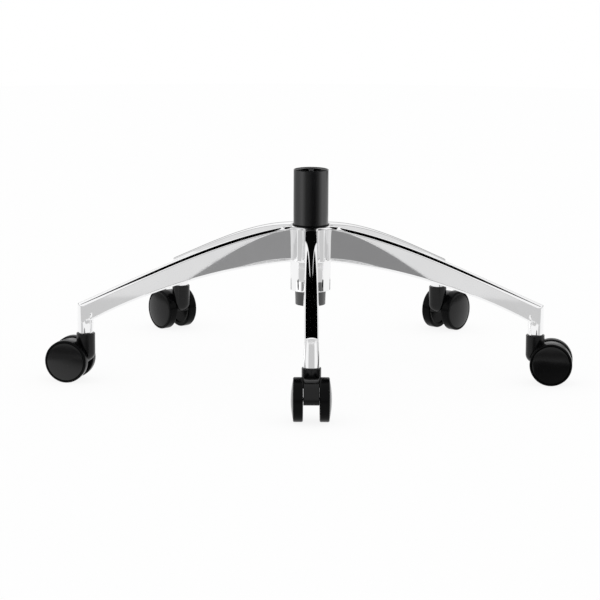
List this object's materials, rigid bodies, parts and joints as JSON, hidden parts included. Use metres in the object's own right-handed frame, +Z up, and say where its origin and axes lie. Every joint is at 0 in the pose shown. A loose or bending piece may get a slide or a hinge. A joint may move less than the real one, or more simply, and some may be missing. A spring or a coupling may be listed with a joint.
{
  "type": "office chair base",
  "caption": "Star base of polished aluminium on twin-wheel swivel casters, with a gas-lift column in its hub.",
  "frame": {"origin": "centre of the column tube's top rim", "axes": "+Z up along the column, and -Y towards the front, along the arm that points at the viewer"},
  "size_m": [0.7443, 0.7108, 0.287],
  "materials": {
    "polished_aluminium": "polished",
    "black_paint": "semi-gloss",
    "black_nylon": "satin",
    "black_gloss_plastic": "gloss",
    "white_nylon": "satin",
    "steel": "machined",
    "chromed_steel": "polished",
    "buffer_rubber": "matte"
  },
  "bodies": {
    "base": {"star_base": "polished_aluminium", "column_tube": "black_paint", "dust_ring": "black_nylon", "end_plate": "steel", "guide_bush": "black_nylon", "lower_thrust_washer": "steel", "stem_front": "steel", "grip_ring_front": "steel", "stem_right": "steel", "grip_ring_right": "steel", "stem_rear_right": "steel", "grip_ring_rear_right": "steel", "stem_rear_left": "steel", "grip_ring_rear_left": "steel", "stem_left": "steel", "grip_ring_left": "steel"},
    "gas_rod": {"piston_rod": "chromed_steel", "rod_piston": "steel", "upper_thrust_washer": "steel", "rubber_buffer": "buffer_rubber", "retaining_clip": "steel"},
    "ball_race": {"bearing_cage": "white_nylon", "bearing_balls": "chromed_steel"},
    "lift_cylinder": {"gas_cylinder": "black_paint", "rod_gland": "white_nylon"},
    "valve_pin": {"release_pin": "steel"},
    "swivel_front": {"hood_front": "black_gloss_plastic", "axle_front": "steel"},
    "wheel_front_left": {"wheel_front_left": "black_nylon", "cap_front_left": "black_gloss_plastic"},
    "wheel_front_right": {"wheel_front_right": "black_nylon", "cap_front_right": "black_gloss_plastic"},
    "swivel_right": {"hood_right": "black_gloss_plastic", "axle_right": "steel"},
    "wheel_right_left": {"wheel_right_left": "black_nylon", "cap_right_left": "black_gloss_plastic"},
    "wheel_right_right": {"wheel_right_right": "black_nylon", "cap_right_right": "black_gloss_plastic"},
    "swivel_rear_right": {"hood_rear_right": "black_gloss_plastic", "axle_rear_right": "steel"},
    "wheel_rear_right_left": {"wheel_rear_right_left": "black_nylon", "cap_rear_right_left": "black_gloss_plastic"},
    "wheel_rear_right_right": {"wheel_rear_right_right": "black_nylon", "cap_rear_right_right": "black_gloss_plastic"},
    "swivel_rear_left": {"hood_rear_left": "black_gloss_plastic", "axle_rear_left": "steel"},
    "wheel_rear_left_left": {"wheel_rear_left_left": "black_nylon", "cap_rear_left_left": "black_gloss_plastic"},
    "wheel_rear_left_right": {"wheel_rear_left_right": "black_nylon", "cap_rear_left_right": "black_gloss_plastic"},
    "swivel_left": {"hood_left": "black_gloss_plastic", "axle_left": "steel"},
    "wheel_left_left": {"wheel_left_left": "black_nylon", "cap_left_left": "black_gloss_plastic"},
    "wheel_left_right": {"wheel_left_right": "black_nylon", "cap_left_right": "black_gloss_plastic"}
  },
  "joints": [
    {"name": "seat_spin", "type": "hinge", "parent": "base", "child": "gas_rod", "pos_m": [0, 0, 0], "axis": [0, 0, 1], "continuous": true},
    {"name": "ball_race_spin", "type": "hinge", "parent": "base", "child": "ball_race", "pos_m": [0, 0, 0], "axis": [0, 0, 1], "continuous": true},
    {"name": "lift", "type": "slide", "parent": "gas_rod", "child": "lift_cylinder", "axis": [0, 0, 1], "range_m": [0, 0.09]},
    {"name": "valve_press", "type": "slide", "parent": "lift_cylinder", "child": "valve_pin", "axis": [0, 0, 1], "range_m": [-0.003, 0], "stiffness_N_per_m": 1500},
    {"name": "swivel_front", "type": "hinge", "parent": "base", "child": "swivel_front", "pos_m": [0, -0.3325, 0], "axis": [0, 0, 1], "continuous": true},
    {"name": "roll_front_left", "type": "hinge", "parent": "swivel_front", "child": "wheel_front_left", "pos_m": [0, -0.3555, -0.257], "axis": [1, 0, 0], "continuous": true},
    {"name": "roll_front_right", "type": "hinge", "parent": "swivel_front", "child": "wheel_front_right", "pos_m": [0, -0.3555, -0.257], "axis": [1, 0, 0], "continuous": true},
    {"name": "swivel_right", "type": "hinge", "parent": "base", "child": "swivel_right", "pos_m": [0.31623, -0.10275, 0], "axis": [0, 0, 1], "continuous": true},
    {"name": "roll_right_left", "type": "hinge", "parent": "swivel_right", "child": "wheel_right_left", "pos_m": [0.33912, -0.10491, -0.257], "axis": [0.0941, 0.9956, 0], "continuous": true},
    {"name": "roll_right_right", "type": "hinge", "parent": "swivel_right", "child": "wheel_right_right", "pos_m": [0.33912, -0.10491, -0.257], "axis": [0.0941, 0.9956, 0], "continuous": true},
    {"name": "swivel_rear_right", "type": "hinge", "parent": "base", "child": "swivel_rear_right", "pos_m": [0.19544, 0.269, 0], "axis": [0, 0, 1], "continuous": true},
    {"name": "roll_rear_right_left", "type": "hinge", "parent": "swivel_rear_right", "child": "wheel_rear_right_left", "pos_m": [0.20928, 0.28737, -0.257], "axis": [-0.7986, 0.6018, 0], "continuous": true},
    {"name": "roll_rear_right_right", "type": "hinge", "parent": "swivel_rear_right", "child": "wheel_rear_right_right", "pos_m": [0.20928, 0.28737, -0.257], "axis": [-0.7986, 0.6018, 0], "continuous": true},
    {"name": "swivel_rear_left", "type": "hinge", "parent": "base", "child": "swivel_rear_left", "pos_m": [-0.19544, 0.269, 0], "axis": [0, 0, 1], "continuous": true},
    {"name": "roll_rear_left_left", "type": "hinge", "parent": "swivel_rear_left", "child": "wheel_rear_left_left", "pos_m": [-0.20928, 0.28737, -0.257], "axis": [-0.7986, -0.6018, 0], "continuous": true},
    {"name": "roll_rear_left_right", "type": "hinge", "parent": "swivel_rear_left", "child": "wheel_rear_left_right", "pos_m": [-0.20928, 0.28737, -0.257], "axis": [-0.7986, -0.6018, 0], "continuous": true},
    {"name": "swivel_left", "type": "hinge", "parent": "base", "child": "swivel_left", "pos_m": [-0.31623, -0.10275, 0], "axis": [0, 0, 1], "continuous": true},
    {"name": "roll_left_left", "type": "hinge", "parent": "swivel_left", "child": "wheel_left_left", "pos_m": [-0.33854, -0.09718, -0.257], "axis": [-0.2419, -0.9703, 0], "continuous": true},
    {"name": "roll_left_right", "type": "hinge", "parent": "swivel_left", "child": "wheel_left_right", "pos_m": [-0.33854, -0.09718, -0.257], "axis": [-0.2419, -0.9703, 0], "continuous": true}
  ],
  "couplings": [
    {"joint": "ball_race_spin", "follows": "seat_spin", "ratio": 0.5}
  ]
}
